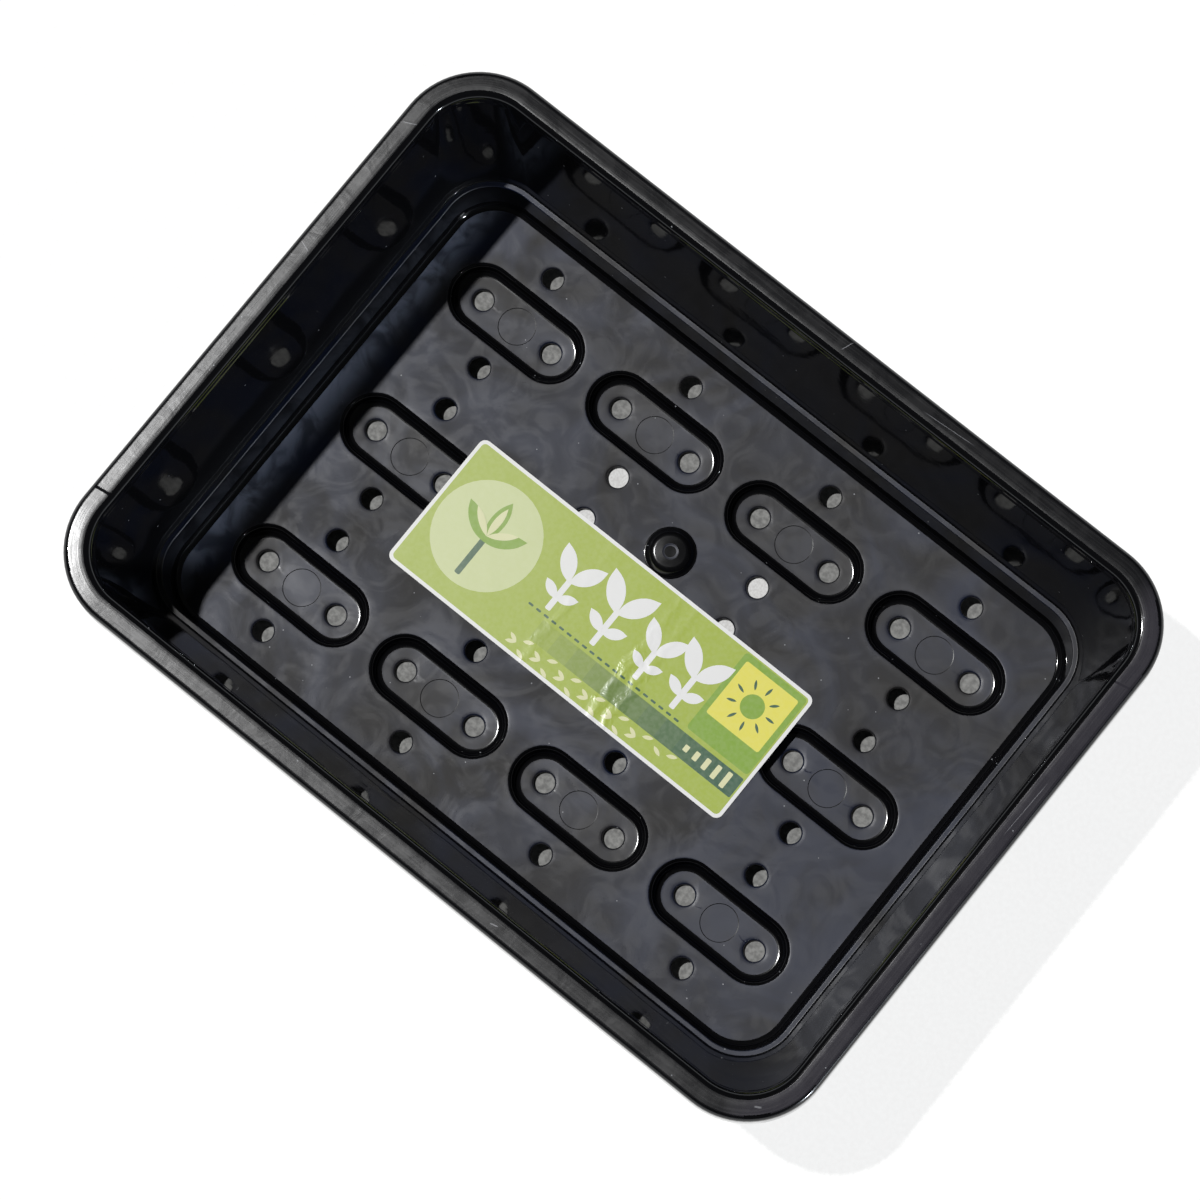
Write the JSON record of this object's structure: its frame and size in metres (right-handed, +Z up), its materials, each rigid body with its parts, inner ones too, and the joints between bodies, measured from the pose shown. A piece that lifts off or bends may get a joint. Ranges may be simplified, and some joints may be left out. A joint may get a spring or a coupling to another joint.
{
  "type": "seed tray",
  "caption": "Shallow rectangular seed tray with a turned-down rim, drafted walls, a low ledge and a floor of sunken drainage cells and drain holes, with a printed label.",
  "frame": {"origin": "on the ground, under the middle of the tray", "axes": "+X along the tray's length, +Y across it towards the side with the gate dome, +Z up out of its open top"},
  "size_m": [0.23, 0.17, 0.06],
  "materials": {
    "black_plastic": "black injection-moulded plastic, polished walls and hazy level faces",
    "printed_film": "glossy printed self-adhesive label, green on white",
    "white_paper": "plain white self-adhesive paper"
  },
  "bodies": {
    "root": {"tray": "black_plastic", "label": "printed_film", "underside_sticker": "white_paper"}
  },
  "joints": []
}
